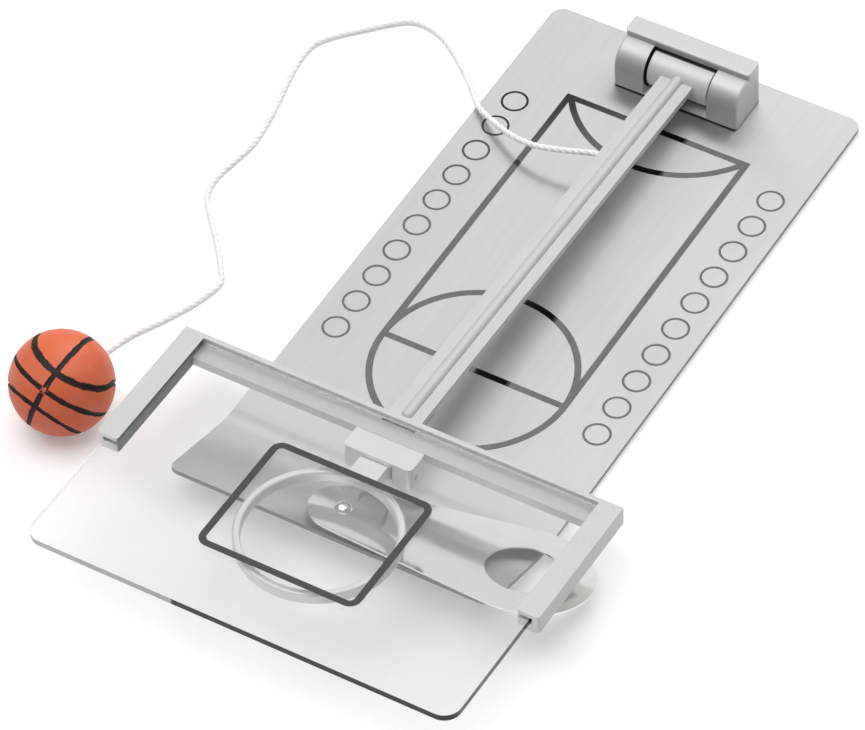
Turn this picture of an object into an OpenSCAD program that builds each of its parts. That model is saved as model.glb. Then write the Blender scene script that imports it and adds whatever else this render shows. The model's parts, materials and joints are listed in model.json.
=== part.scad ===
// Tabletop basketball game, folded flat for storage.
// A sheet steel court rises into a ramp at its front end. A post folds about a
// hinge block at the rear and carries a clear backboard in a metal frame, with
// a hoop hinged below the board. A springy flipper turns on a screw in the
// ramp, and the ball is tied to the post by a cord.
// Millimetres, +Z up. The origin lies on the table, halfway across the court
// and straight below the hinge axis. +Y points to the rear.

/* [Base plate] */
// Width of the steel base plate, across the court
plate_w = 100; // [90:1:112]
// Distance in plan from the backboard frame's rear face to the ramp's front edge
front_reach = 39.5; // [38:0.5:48]
// Distance from the hinge axis to the plate's rear edge
plate_rear = 13.2; // [10:0.2:20]
// Thickness of the base plate's sheet
plate_t = 1.2; // [0.8:0.1:2]
// Radius of the base plate's two rear corners
rear_corner_r = 4; // [1:0.5:8]

/* [Ramp] */
// Length of the ramp in plan, from the bend line to the front edge
ramp_run = 28.5; // [26:0.5:34]
// Slope of the ramp, in degrees
ramp_angle = 17.2; // [14:0.2:20]
// Radius of the bend between court and ramp, on the upper side
bend_r = 25; // [10:1:40]
// Radius of the ramp's two front corners
front_corner_r = 3; // [1:0.5:6]

/* [Feet] */
// Length of each rubber strip, across the plate
foot_len = 84; // [40:1:88]
// Width of each rubber strip
foot_w = 10; // [6:0.5:14]
// Thickness of the rubber strips
foot_t = 1; // [0.5:0.1:3]
// Distance from the bend line back to the middle of the front strip
foot_setback = 13; // [10:0.5:40]

/* [Hinge block] */
// Width of the hinge block
block_w = 40; // [36:0.5:50]
// Height of the hinge axis above the plate
axis_h = 6.7; // [6.6:0.1:9]
// Radius of the two round cheeks about the hinge axis
cheek_r = 7; // [6.8:0.1:8]
// Height of the block's rear cap above the barrel's pocket
cap_t = 2.4; // [1.5:0.1:4]
// Distance of the cap's front face behind the hinge axis
cap_setback = 0.4; // [0.2:0.1:1.5]
// Wall behind the barrel's pocket
rear_wall = 0.8; // [0.6:0.1:3]
// Height of the lip left in front of the barrel
lip_h = 0.8; // [0.4:0.1:1.5]
// Radius of the block's soft edges
block_edge_r = 1.2; // [0.6:0.1:2]

/* [Hinge barrel and pin] */
// Radius of the barrel that the post is fixed in
barrel_r = 6.1; // [5.8:0.1:6.4]
// Length of the barrel
barrel_len = 19.4; // [16:0.1:22]
// Radius of the hinge pin
pin_r = 1.5; // [1:0.1:1.8]
// Wall left in front of the pin's blind end
pin_end_wall = 2; // [1:0.1:4]
// Thickness of the friction washers
washer_t = 0.5; // [0.3:0.1:1]
// Outer radius of the friction washers
washer_r = 4.5; // [3:0.1:5.5]

/* [Post] */
// Width of the post's flat flange
post_w = 10.2; // [8:0.1:12]
// Thickness of the flange
flange_t = 2; // [1.6:0.1:2.6]
// Height of the flange's underside above the hinge axis, square to the post
flange_height = 0.4; // [0.2:0.1:0.8]
// Distance from the hinge axis to the start of the post
post_start = 2.4; // [2.2:0.1:4]
// Distance from the hinge axis to the backboard frame's rear face
frame_s = 158.3; // [150:0.5:165]
// Width of the post's raised rib
rib_w = 3.5; // [2.5:0.1:4.5]
// Height of the raised rib above the flange
rib_h = 1.3; // [0.8:0.1:1.6]

/* [Backboard] */
// Width of the clear board
board_w = 131.6; // [124:0.2:140]
// Length of the clear board from the frame to its free edge
board_len = 83.9; // [78:0.1:95]
// Thickness of the clear board
board_t = 2; // [1.5:0.1:2.6]
// Height of the board's underside above the hinge axis, square to the post
board_height = 1.5; // [1:0.1:2]
// Radius of the board's two free corners
board_corner_r = 5; // [1:0.5:10]

/* [Backboard frame] */
// Wall of the frame outside the board's slot
frame_wall = 2; // [1.2:0.1:3]
// Room on each side between the board's edge and the frame's wall
board_play = 0.6; // [0.3:0.1:1]
// Thickness of the frame's rear web
web_t = 1.6; // [1.4:0.1:3]
// Length of the lower flange, from the rear face forward
lower_flange_len = 7.4; // [6.5:0.1:10]
// Thickness of the lower flange under the board
lower_flange_t = 2.85; // [2:0.05:3.5]
// Thickness of the lip above the board
upper_lip_t = 1.2; // [0.8:0.05:2]
// Length of the two side arms, from the rear face forward
arm_len = 45.2; // [30:0.1:60]
// Width of the two side arms
arm_w = 6.6; // [4.5:0.1:9]
// Length of the saddle that the post is screwed to
saddle_len = 9.5; // [9.5:0.5:16]
// Width of the saddle
saddle_w = 8.8; // [5:0.1:10]

/* [Hoop bracket] */
// Distance of the hoop from the middle of the board, to the right
hoop_x = 1; // [-5:0.5:5]
// Width of the bracket
bracket_w = 21.2; // [18:0.2:28]
// Length of the bracket's block, from the frame forward
bracket_len = 7.4; // [7:0.1:9]
// Depth of the bracket's block below the board
bracket_h = 7.65; // [7:0.05:10]
// Thickness of the bracket's foot under the frame
bracket_foot_t = 1.75; // [1.2:0.05:2.5]
// Radius of the hoop's pin
hoop_pin_r = 1; // [0.6:0.1:1.3]
// Distance from the bracket's rear face to the hoop's pin
hoop_pin_s = 4.6; // [4:0.1:5]
// Depth of the hoop's pin below the hinge axis, square to the post
hoop_pin_depth = 3.2; // [2.8:0.1:3.6]

/* [Hoop ring] */
// Inner radius of the hoop
ring_r = 20.9; // [17:0.1:24]
// Wall of the hoop
ring_wall = 2.2; // [1.5:0.1:4]
// Height of the hoop
ring_h = 3.8; // [2.5:0.1:4.5]
// Distance from the hoop's pin to the near side of the hoop
neck_len = 9.5; // [8:0.1:14]
// Radius of the hoop's knuckle
knuckle_r = 2.4; // [2:0.1:2.6]
// Width of the hoop's knuckle and neck
knuckle_w = 8.4; // [6:0.2:12]

/* [Flipper] */
// Distance from the ramp's front edge to the flipper's screw, in plan
flipper_setback = 10; // [6:0.5:16]
// Distance of the flipper's screw from the middle of the plate, to the right
flipper_x = -1.2; // [-10:0.2:10]
// Thickness of the flipper's spring steel
flipper_t = 0.5; // [0.3:0.05:0.8]
// Radius of the flipper's fixed end
flipper_tail_r = 11.3; // [8:0.1:13]
// Distance from the screw to the middle of the fixed end's arc
flipper_tail_u = 1.6; // [0:0.1:4]
// Radius of the flipper's free end
flipper_head_r = 19.5; // [15:0.1:21]
// Distance from the screw to the middle of the free end's arc
flipper_head_u = 52.5; // [45:0.5:56]
// Radius of the hole that the ball sits in
ball_hole_r = 10.4; // [8:0.1:12.5]
// Turn of the stowed flipper from the line across the plate, in degrees
flipper_turn = 6.3; // [0:0.1:12]
// Thickness of the spacer under the flipper
spacer_t = 1.95; // [1.9:0.05:3]
// Gap between the stowed hoop and the flipper's highest edge
stow_gap = 0.2; // [0.1:0.05:3]

/* [Ball] */
// Radius of the rubber ball
ball_r = 14.7; // [12:0.1:18]
// Width of the ball's seams
seam_w = 0.9; // [0.5:0.1:1.5]
// Depth of the ball's seams
seam_depth = 0.25; // [0.1:0.05:0.6]
// Latitude at which the side seams cross the upright seam, in degrees
seam_lat = 22.5; // [15:0.5:30]
// Tilt of the side seams away from the level seam, in degrees
seam_tilt = 11.5; // [0:0.5:20]

/* [Screws] */
// Shank radius of the two screws that hold the hinge block
block_screw_r = 1.25; // [1:0.05:1.4]
// Distance of those screws from the middle of the block
block_screw_x = 15; // [13:0.1:16.5]
// Shank radius of the small screws in the post and in the bracket
small_screw_r = 0.9; // [0.6:0.05:1]
// Distance of the bracket's screws from the middle of the bracket
bracket_screw_x = 6; // [4:0.1:8]
// Shank radius of the flipper's screw
flipper_screw_r = 1.5; // [1:0.1:2]
// Radius of the flipper screw's domed head
dome_r = 2.5; // [2.2:0.1:3.2]
// Height of the domed head
dome_h = 1.6; // [1.2:0.1:2]

/* [Fits] */
// Gap on each side of a piece that is set or screwed in place
seat_gap = 0.05; // [0.02:0.01:0.1]
// Radial gap of a pin that turns in its bore
turn_gap = 0.05; // [0.02:0.01:0.1]
// Radial gap between the barrel and its pocket
barrel_gap = 0.4; // [0.3:0.05:0.6]
// Gap on each side of the hoop's knuckle in its slot
knuckle_gap = 0.5; // [0.2:0.05:1]

/* [Hidden] */
$fn = 96;

// How far a cut runs past the face that it opens
cut = 0.5;
// How deep one surface lies inside the next where they run on smoothly
blend = 0.005;

// Plate and ramp
plate_top = foot_t + plate_t;
front_y = -(frame_s + front_reach);
bend_y = front_y + ramp_run;
bend_half = bend_r * tan(ramp_angle / 2);
bend_steps = 20;
ramp_len = ramp_run / cos(ramp_angle);

// Hinge, measured from the hinge axis where nothing else is said, and the screws and strips
axis_z = plate_top + axis_h;
pocket_r = barrel_r + barrel_gap;
block_rear = pocket_r + rear_wall;
cap_top = axis_h + pocket_r + cap_t;
cap_edge_r = block_edge_r * 2 / 3;
pocket_w = barrel_len + 2 * (washer_t + 2 * seat_gap);
bore_end_x = block_w / 2 - pin_end_wall;
block_screw_y = block_rear - 2.8 * block_screw_r;
block_screw_len = 7;
block_head_r = 1.84 * block_screw_r;
foot_bevel = 0.4;
block_head_h = plate_t * 0.9;
barrel_edge_r = 0.4;
pin_inset = 1;
pin_edge_r = 0.2;
foot_corner_r = 2;

// Post: s runs forward along it from the hinge axis, n rises square to it
flange_top_n = flange_height + flange_t;
rib_r = (rib_h * rib_h + rib_w * rib_w / 4) / (2 * rib_h);
rib_n = flange_top_n + rib_h - rib_r;
rib_end_gap = 1.5;
rib_end_s = frame_s - rib_end_gap;
post_end_inset = 0.3;
post_end_s = frame_s + web_t - post_end_inset;

// Backboard frame
board_s = frame_s + web_t + 2 * seat_gap;
flange_top = board_height - seat_gap;
frame_bottom = flange_top - lower_flange_t;
frame_top = board_height + board_t + seat_gap + upper_lip_t;
frame_w = board_w + 2 * (board_play + frame_wall);
saddle_s = frame_s - saddle_len;
saddle_top = flange_height - seat_gap;
arm_corner_r = 1.2;
arm_inner_r = 0.9;
board_rear_r = 0.5;

// Small countersunk screws
head_overhang = 0.7;
small_head_r = small_screw_r + head_overhang;
small_head_h = 0.8;
post_screw_s = [frame_s - 0.7 * saddle_len, frame_s - 0.33 * saddle_len];
post_screw_top = flange_top_n + 0.1;
blind_wall = 0.2;

// Hoop bracket and hoop
bracket_s = frame_s + lower_flange_len + 2 * seat_gap;
bracket_bottom = flange_top - bracket_h;
foot_top = frame_bottom - seat_gap;
foot_inset = 1.2;
foot_back_s = frame_s + foot_inset;
foot_side = 2.6;
bracket_back_t = 1.8;
bracket_rear_r = 0.5;
bracket_front_r = 1.5;
hoop_pin_inset = 0.5;
bracket_screw_s = (foot_back_s + bracket_s) / 2;
pin_s = bracket_s + hoop_pin_s;
slot_w = knuckle_w + 2 * knuckle_gap;
slot_room = 0.9;
slot_top = knuckle_r + slot_room - hoop_pin_depth;
ring_s = pin_s + neck_len + ring_wall + ring_r;
ring_drop = 0.3;
ring_top = board_height - ring_drop;
ring_bottom = ring_top - ring_h;
ring_edge_r = ring_wall / 3;

// Flipper, measured up the ramp from the bend line
screw_d = (ramp_run - flipper_setback) / cos(ramp_angle);
head_sin = (flipper_head_r - flipper_tail_r) / (flipper_head_u - flipper_tail_u);
head_cos = sqrt(1 - head_sin * head_sin);
tail_front = flipper_tail_r - flipper_tail_u * sin(flipper_turn);
head_front = flipper_head_r - flipper_head_u * sin(flipper_turn);
flipper_front_d = screw_d + max(tail_front, head_front);
flipper_top_h = spacer_t + seat_gap + flipper_t;
nut_h = 2.4;
nut_flats = 5.5;
spacer_wall = 2;
thread_end = 0.4;
drive_slot_w = 0.55;

// The stowed post is tilted until the hoop clears the flipper's highest edge
edge_y = bend_y - flipper_front_d * cos(ramp_angle);
edge_z = plate_top + flipper_front_d * sin(ramp_angle) + flipper_top_h * cos(ramp_angle);
stow_tilt = atan((edge_z + stow_gap - axis_z - ring_bottom) / -edge_y);

// Ball: the cord leaves it along its own +Y
ball_at = [-90.2, -187.8, ball_r];
ball_turn = [-41, 18, -3];
cord_hole_r = 1.1;
cord_hole_depth = 2.8;
side_seam_at = ball_r * sin(seam_lat + seam_tilt);

// Cord: hand-set points from the ball to the post's left side
cord_d = 1.8;
cord_sides = 8;
cord_steps = 2;
cord_route = [
    [-92.2, -178.4, 7.0], [-92.6, -176.6, 5.5], [-93.2, -173.6, 3.1],
    [-93.6, -169.5, 1.4], [-93.4, -163.5, 0.9], [-90.4, -154, 0.9],
    [-85.8, -145.4, 0.9], [-81.8, -136.7, 0.9], [-79.5, -129.3, 0.9],
    [-79.3, -124.8, 0.9], [-82.1, -120.6, 0.9], [-87.4, -113.7, 0.9],
    [-96.3, -103.8, 0.9], [-100.2, -98.4, 0.9], [-101.5, -91.7, 0.9],
    [-100.4, -83.5, 0.9], [-99.3, -75, 0.9], [-100.2, -66, 0.9],
    [-101.8, -57.5, 0.9], [-104.2, -46.4, 0.9], [-105.2, -38.3, 0.9],
    [-104.4, -31.8, 0.9], [-99.8, -25.5, 0.9], [-94.7, -20.3, 0.9],
    [-89, -14.6, 0.9], [-83.9, -11.3, 0.9], [-77.2, -11.5, 0.9],
    [-70.4, -14.6, 1.0], [-61.2, -21.9, 1.7], [-55, -27.8, 2.7],
    [-48.6, -34.3, 3.7], [-42.6, -38.0, 5.0], [-33.9, -42.1, 6.8],
    [-25.9, -44.1, 8.5], [-18.4, -43.9, 10.0], [-11.4, -42.6, 11.2],
    [-7.2, -41.5, 11.7], [-5.2, -41.4, 11.8]];

// Colours
steel = [0.72, 0.72, 0.71];
cast = [0.74, 0.75, 0.75];
bright = [0.80, 0.80, 0.79];
grey = [0.62, 0.63, 0.63];
clear = [0.85, 0.90, 0.88, 0.35];
rubber = [0.15, 0.15, 0.15];
orange = [0.84, 0.36, 0.20];
white = [0.93, 0.93, 0.91];

// Box between two opposite corners
module box(low, high) {
    translate(low) cube(high - low);
}

// Upright slab between two plan corners, with its upright edges rounded
module rounded_slab(low, high, r) {
    size = high - low;
    translate(low) linear_extrude(size[2]) rounded_outline([size[0], size[1]], r, r);
}

// Rectangle from the origin, with one radius at y = 0 and one at its far side
module rounded_outline(size, near_r, far_r) {
    translate([near_r, 0]) square([size[0] - 2 * near_r, size[1] / 2]);
    translate([far_r, size[1] / 2]) square([size[0] - 2 * far_r, size[1] / 2]);
    translate([0, near_r]) square([size[0], size[1] - near_r - far_r]);
    for (x = [near_r, size[0] - near_r]) translate([x, near_r]) circle(near_r);
    for (x = [far_r, size[0] - far_r]) translate([x, size[1] - far_r]) circle(far_r);
}

// Round bar along X, centred on the origin, with softly rounded end edges
module soft_roller(r, len, edge) {
    rotate([0, 90, 0]) rotate_extrude() union() {
        translate([0, -len / 2]) square([r - edge, len]);
        translate([0, edge - len / 2]) square([r, len - 2 * edge]);
        for (y = [edge - len / 2, len / 2 - edge]) translate([r - edge, y]) circle(edge);
    }
}

// Rod along X between two stations
module rod_x(r, x0, x1) {
    translate([x0, 0, 0]) rotate([0, 90, 0]) cylinder(h = x1 - x0, r = r);
}

// Rod along Y between two stations
module rod_y(r, y0, y1) {
    translate([0, y1, 0]) rotate([90, 0, 0]) cylinder(h = y1 - y0, r = r);
}

// Frame of the folded post: local y is s, forward along the post, z is n
module on_post() {
    translate([0, 0, axis_z]) rotate([-stow_tilt, 0, 0]) mirror([0, 1, 0]) children();
}

// Frame of the ramp: local y runs up the ramp from the bend line
module on_ramp() {
    translate([0, bend_y, plate_top]) rotate([-ramp_angle, 0, 0]) mirror([0, 1, 0]) children();
}

// Countersunk screw pointing up from its flat head at z = 0
module countersunk(r, head_r, head_h, len) {
    cylinder(h = head_h, r1 = head_r, r2 = r);
    cylinder(h = len, r = r);
}

// Hexagonal drive recess in the underside of a screw
module drive_recess(r) {
    translate([0, 0, -cut]) cylinder(h = cut + r, r = r * 0.7, $fn = 6);
}

module base_plate() {
    color(steel) difference() {
        translate([-plate_w / 2, 0, 0]) rotate([90, 0, 90]) linear_extrude(plate_w) sheet_profile();
        for (side = [0, 1]) mirror([side, 0, 0]) {
            translate([plate_w / 2, plate_rear, foot_t]) corner_cutter(rear_corner_r);
            on_ramp() translate([plate_w / 2, ramp_len, -plate_t]) corner_cutter(front_corner_r);
        }
        for (x = [-block_screw_x, block_screw_x]) translate([x, block_screw_y, foot_t]) {
            block_screw_hole();
        }
        on_ramp() translate([flipper_x, screw_d, -plate_t - cut]) {
            cylinder(h = plate_t + 2 * cut, r = flipper_screw_r + seat_gap);
        }
    }
}

// Side view of the bent sheet: court, bend and ramp, with its front end square
module sheet_profile() {
    centre = [bend_y + bend_half, plate_top + bend_r];
    upper = [for (i = [0:bend_steps]) centre - bend_r * bend_ray(i)];
    lower = [for (i = [bend_steps:-1:0]) centre - (bend_r + plate_t) * bend_ray(i)];
    tip = [bend_y - ramp_len * cos(ramp_angle), plate_top + ramp_len * sin(ramp_angle)];
    low_tip = tip - plate_t * [sin(ramp_angle), cos(ramp_angle)];
    polygon(concat([[plate_rear, plate_top]], upper, [tip, low_tip], lower, [[plate_rear, foot_t]]));
}

// Direction from the sheet to the bend's centre at one of its steps
function bend_ray(i) = [sin(i * ramp_angle / bend_steps), cos(i * ramp_angle / bend_steps)];

// What is cut off the sheet to round a corner that points to +X and +Y
module corner_cutter(r) {
    translate([-r, -r, -cut]) difference() {
        cube([r + cut, r + cut, plate_t + 2 * cut]);
        translate([0, 0, -cut]) cylinder(h = plate_t + 4 * cut, r = r);
    }
}

module foot_pads() {
    color(rubber) for (y = [0, bend_y + foot_setback]) {
        translate([0, y, 0]) {
            rounded_slab([-foot_len / 2, -foot_w / 2, 0], [foot_len / 2, foot_w / 2, foot_t], foot_corner_r);
        }
    }
}

module block_screw_hole() {
    translate([0, 0, -cut]) cylinder(h = cut + seat_gap, r = block_head_r + seat_gap);
    translate([0, 0, seat_gap]) {
        countersunk(block_screw_r + seat_gap, block_head_r + seat_gap, block_head_h, plate_t);
    }
}

module hinge_block() {
    color(cast) translate([0, 0, plate_top]) difference() {
        block_body();
        box([-block_w / 2 - cut, -cheek_r - cut, -cheek_r], [block_w / 2 + cut, cheek_r + cut, 0]);
        foot_bevels();
        translate([0, 0, axis_h]) barrel_pocket();
        translate([0, 0, axis_h]) rod_x(pin_r + turn_gap, -block_w / 2 - cut, bore_end_x);
        for (x = [-block_screw_x, block_screw_x]) translate([x, block_screw_y, -cut]) {
            cylinder(h = cut + block_screw_len, r = block_screw_r + seat_gap);
        }
    }
}

// Foot, round cheeks and rear cap, standing on z = 0
module block_body() {
    rounded_slab([-block_w / 2, -cheek_r, 0], [block_w / 2, block_rear, axis_h], block_edge_r);
    translate([0, 0, axis_h]) soft_roller(cheek_r, block_w, block_edge_r);
    intersection() {
        rounded_slab([-block_w / 2, cap_setback, 0], [block_w / 2, block_rear, cap_top], block_edge_r);
        translate([-block_w / 2 - cut, cap_setback, 0]) rotate([90, 0, 90]) {
            linear_extrude(block_w + 2 * cut) cap_outline();
        }
    }
}

// Material cut off the foot's lower front, rear and side edges
module foot_bevels() {
    for (y = [-cheek_r, block_rear]) {
        translate([-block_w / 2 - cut, y, 0]) rotate([90, 0, 90]) bevel_bar(block_w + 2 * cut);
    }
    for (x = [-block_w / 2, block_w / 2]) {
        translate([x, block_rear + cut, 0]) rotate([90, 0, 0]) bevel_bar(block_rear + cheek_r + 2 * cut);
    }
}

// Square bar on its edge, as wide on the ground as both its bevels
module bevel_bar(len) {
    linear_extrude(len) rotate(45) square(foot_bevel * sqrt(2), center = true);
}

// Side view of the cap, rounded along its two top edges
module cap_outline() {
    depth = block_rear - cap_setback;
    square([depth, cap_top - cap_edge_r]);
    translate([cap_edge_r, 0]) square([depth - 2 * cap_edge_r, cap_top]);
    for (y = [cap_edge_r, depth - cap_edge_r]) {
        translate([y, cap_top - cap_edge_r]) circle(cap_edge_r);
    }
}

// Room for the barrel, open to the front and above, about the hinge axis
module barrel_pocket() {
    rod_x(pocket_r, -pocket_w / 2, pocket_w / 2);
    box([-pocket_w / 2, -cheek_r - cut, lip_h - axis_h], [pocket_w / 2, cap_setback, cap_top]);
}

module block_screws() {
    color(bright) for (x = [-block_screw_x, block_screw_x]) {
        translate([x, block_screw_y, foot_t + seat_gap]) difference() {
            countersunk(block_screw_r, block_head_r, block_head_h, block_screw_len);
            drive_recess(block_screw_r);
        }
    }
}

module hinge_pin() {
    x0 = pin_inset - block_w / 2;
    x1 = bore_end_x - pin_edge_r;
    color(bright) translate([(x0 + x1) / 2, 0, axis_z]) soft_roller(pin_r, x1 - x0, pin_edge_r);
}

module friction_washers() {
    color(grey) for (side = [-1, 1]) {
        translate([side * (barrel_len + washer_t) / 2 + side * seat_gap, 0, axis_z]) difference() {
            rod_x(washer_r, -washer_t / 2, washer_t / 2);
            rod_x(pin_r + turn_gap, -washer_t / 2 - cut, washer_t / 2 + cut);
        }
    }
}

module hinge_barrel() {
    color(cast) on_post() difference() {
        soft_roller(barrel_r, barrel_len, barrel_edge_r);
        rod_x(pin_r + turn_gap, -barrel_len / 2 - cut, barrel_len / 2 + cut);
        post_pocket(post_start - seat_gap, barrel_r + cut);
    }
}

// Room that the post's end takes in another piece, between two stations
module post_pocket(s0, s1) {
    half = post_w / 2 + seat_gap;
    box([-half, s0, flange_height - seat_gap], [half, s1, flange_top_n + seat_gap]);
    intersection() {
        translate([0, 0, rib_n]) rod_y(rib_r + seat_gap, s0, s1);
        box([-half, s0, flange_height], [half, s1, rib_n + rib_r + cut]);
    }
}

module post() {
    half = post_w / 2;
    color(cast) on_post() difference() {
        union() {
            box([-half, post_start, flange_height], [half, post_end_s, flange_top_n]);
            intersection() {
                rib_bar();
                box([-half, post_start, flange_height], [half, rib_end_s, rib_n + rib_r]);
            }
        }
        for (s = post_screw_s) translate([0, s, 0]) {
            cylinder(h = post_screw_top + seat_gap, r = small_screw_r + seat_gap);
        }
    }
}

// Round bar with a ball end, whose upper part stands out of the flange
module rib_bar() {
    translate([0, 0, rib_n]) rod_y(rib_r, post_start, rib_end_s - rib_r);
    translate([0, rib_end_s - rib_r, rib_n]) sphere(rib_r);
}

module post_screws() {
    color(bright) on_post() for (s = post_screw_s) translate([0, s, frame_bottom]) difference() {
        countersunk(small_screw_r, small_head_r, small_head_h, post_screw_top - frame_bottom);
        drive_recess(small_screw_r);
    }
}

module board_frame() {
    half = frame_w / 2;
    color(cast) on_post() difference() {
        union() {
            box([-half, frame_s, frame_bottom], [half, frame_s + lower_flange_len, flange_top]);
            box([-half, frame_s, frame_bottom], [half, frame_s + web_t, frame_top]);
            for (side = [0, 1]) mirror([side, 0, 0]) frame_arm();
            box([-saddle_w / 2, saddle_s, frame_bottom], [saddle_w / 2, frame_s, saddle_top]);
        }
        board_slot();
        post_slot();
        for (s = post_screw_s) translate([0, s, frame_bottom]) small_screw_hole(saddle_top);
        for (x = [-bracket_screw_x, bracket_screw_x]) {
            translate([hoop_x + x, bracket_screw_s, frame_bottom - cut]) {
                cylinder(h = lower_flange_t + cut - blind_wall, r = small_screw_r + seat_gap);
            }
        }
    }
}

// Side arm on the right, with its free end rounded
module frame_arm() {
    translate([frame_w / 2 - arm_w, frame_s, frame_bottom]) linear_extrude(frame_top - frame_bottom) {
        square([arm_w, arm_len - arm_inner_r]);
        translate([arm_inner_r, 0]) square([arm_w - arm_inner_r - arm_corner_r, arm_len]);
        translate([arm_inner_r, 0]) square([arm_w - arm_inner_r, arm_len - arm_corner_r]);
        translate([arm_inner_r, arm_len - arm_inner_r]) circle(arm_inner_r);
        translate([arm_w - arm_corner_r, arm_len - arm_corner_r]) circle(arm_corner_r);
    }
}

// Slot that the board's rear and side edges sit in
module board_slot() {
    half = board_w / 2 + board_play;
    box([-half, frame_s + web_t, flange_top], [half, frame_s + arm_len + cut, frame_top - upper_lip_t]);
}

// Slot through the web for the end of the post's flange
module post_slot() {
    half = post_w / 2 + seat_gap;
    box([-half, frame_s - cut, flange_height - seat_gap],
        [half, frame_s + web_t + cut, flange_top_n + seat_gap]);
}

// Hole for a small countersunk screw whose head sits flush at z = 0
module small_screw_hole(top) {
    translate([0, 0, -cut]) cylinder(h = cut, r = small_head_r + seat_gap);
    countersunk(small_screw_r + seat_gap, small_head_r + seat_gap, small_head_h, top - frame_bottom + cut);
}

module backboard() {
    color(clear) on_post() translate([-board_w / 2, board_s, board_height]) {
        linear_extrude(board_t) rounded_outline([board_w, board_len], board_rear_r, board_corner_r);
    }
}

module hoop_bracket() {
    half = bracket_w / 2;
    slot_half = slot_w / 2;
    front_s = bracket_s + bracket_len;
    color(grey) on_post() translate([hoop_x, 0, 0]) difference() {
        union() {
            translate([-half, bracket_s, bracket_bottom]) linear_extrude(bracket_h) {
                rounded_outline([bracket_w, bracket_len], bracket_rear_r, bracket_front_r);
            }
            box([foot_side - half, foot_back_s, foot_top - bracket_foot_t],
                [half - foot_side, bracket_s + cut, foot_top]);
        }
        box([-slot_half, bracket_s + bracket_back_t, bracket_bottom - cut],
            [slot_half, front_s + cut, slot_top]);
        translate([0, pin_s, -hoop_pin_depth]) rod_x(hoop_pin_r + turn_gap, -half - cut, half + cut);
        for (x = [-bracket_screw_x, bracket_screw_x]) {
            translate([x, bracket_screw_s, foot_top - bracket_foot_t]) {
                small_screw_hole(frame_bottom + bracket_foot_t + cut);
            }
        }
    }
}

module bracket_screws() {
    len = flange_top - foot_top + bracket_foot_t - blind_wall - 2 * seat_gap;
    color(bright) on_post() for (x = [-bracket_screw_x, bracket_screw_x]) {
        translate([hoop_x + x, bracket_screw_s, foot_top - bracket_foot_t]) difference() {
            countersunk(small_screw_r, small_head_r, small_head_h, len);
            drive_recess(small_screw_r);
        }
    }
}

module hoop_pin() {
    len = bracket_w - 2 * hoop_pin_inset;
    color(bright) on_post() translate([hoop_x, pin_s, -hoop_pin_depth]) {
        soft_roller(hoop_pin_r, len, pin_edge_r);
    }
}

module hoop_ring() {
    color(grey) on_post() translate([hoop_x, 0, 0]) difference() {
        union() {
            translate([0, ring_s, ring_bottom]) rotate_extrude() ring_profile();
            translate([0, pin_s, -hoop_pin_depth]) rod_x(knuckle_r, -knuckle_w / 2, knuckle_w / 2);
            translate([-knuckle_w / 2, pin_s, 0]) rotate([90, 0, 90]) {
                linear_extrude(knuckle_w) neck_profile();
            }
        }
        translate([0, pin_s, -hoop_pin_depth]) rod_x(hoop_pin_r + turn_gap, -knuckle_w, knuckle_w);
    }
}

// Half section of the hoop, rounded along its four edges
module ring_profile() {
    translate([ring_r, ring_edge_r]) square([ring_wall, ring_h - 2 * ring_edge_r]);
    translate([ring_r + ring_edge_r, 0]) square([ring_wall - 2 * ring_edge_r, ring_h]);
    for (x = [ring_edge_r, ring_wall - ring_edge_r], y = [ring_edge_r, ring_h - ring_edge_r]) {
        translate([ring_r + x, y]) circle(ring_edge_r);
    }
}

// Side view of the neck: x is s from the pin, y is n
module neck_profile() {
    end = neck_len + 0.9 * ring_wall;
    top = ring_top;
    low = ring_top - ring_h;
    polygon([
        [0, knuckle_r - hoop_pin_depth], [knuckle_r * 0.8, knuckle_r - hoop_pin_depth],
        [knuckle_r * 1.8, top], [end, top], [end, low], [knuckle_r * 2.1, low],
        [knuckle_r * 0.9, -knuckle_r * 0.85 - hoop_pin_depth], [0, -knuckle_r - hoop_pin_depth]]);
}

module flipper() {
    color(bright) on_ramp() on_flipper() difference() {
        flipper_blank();
        translate([0, 0, -cut]) cylinder(h = flipper_t + 2 * cut, r = flipper_screw_r + 2 * seat_gap);
        translate([flipper_head_u, 0, -cut]) cylinder(h = flipper_t + 2 * cut, r = ball_hole_r);
    }
}

// Frame of the flipper's underside, with its screw at the origin
module on_flipper() {
    translate([flipper_x, screw_d, spacer_t + seat_gap]) rotate([0, 0, -flipper_turn]) children();
}

// Two round ends joined along their outer tangents
module flipper_blank() {
    tail_r = flipper_tail_r - blend;
    head_r = flipper_head_r - blend;
    tail = [flipper_tail_u - tail_r * head_sin, tail_r * head_cos];
    head = [flipper_head_u - head_r * head_sin, head_r * head_cos];
    translate([flipper_tail_u, 0, 0]) cylinder(h = flipper_t, r = flipper_tail_r);
    translate([flipper_head_u, 0, 0]) cylinder(h = flipper_t, r = flipper_head_r);
    linear_extrude(flipper_t) polygon([tail, head, [head[0], -head[1]], [tail[0], -tail[1]]]);
}

module flipper_spacer() {
    color(bright) on_ramp() translate([flipper_x, screw_d, 0]) difference() {
        cylinder(h = spacer_t, r = flipper_screw_r + spacer_wall);
        translate([0, 0, -cut]) cylinder(h = spacer_t + 2 * cut, r = flipper_screw_r + seat_gap);
    }
}

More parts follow.
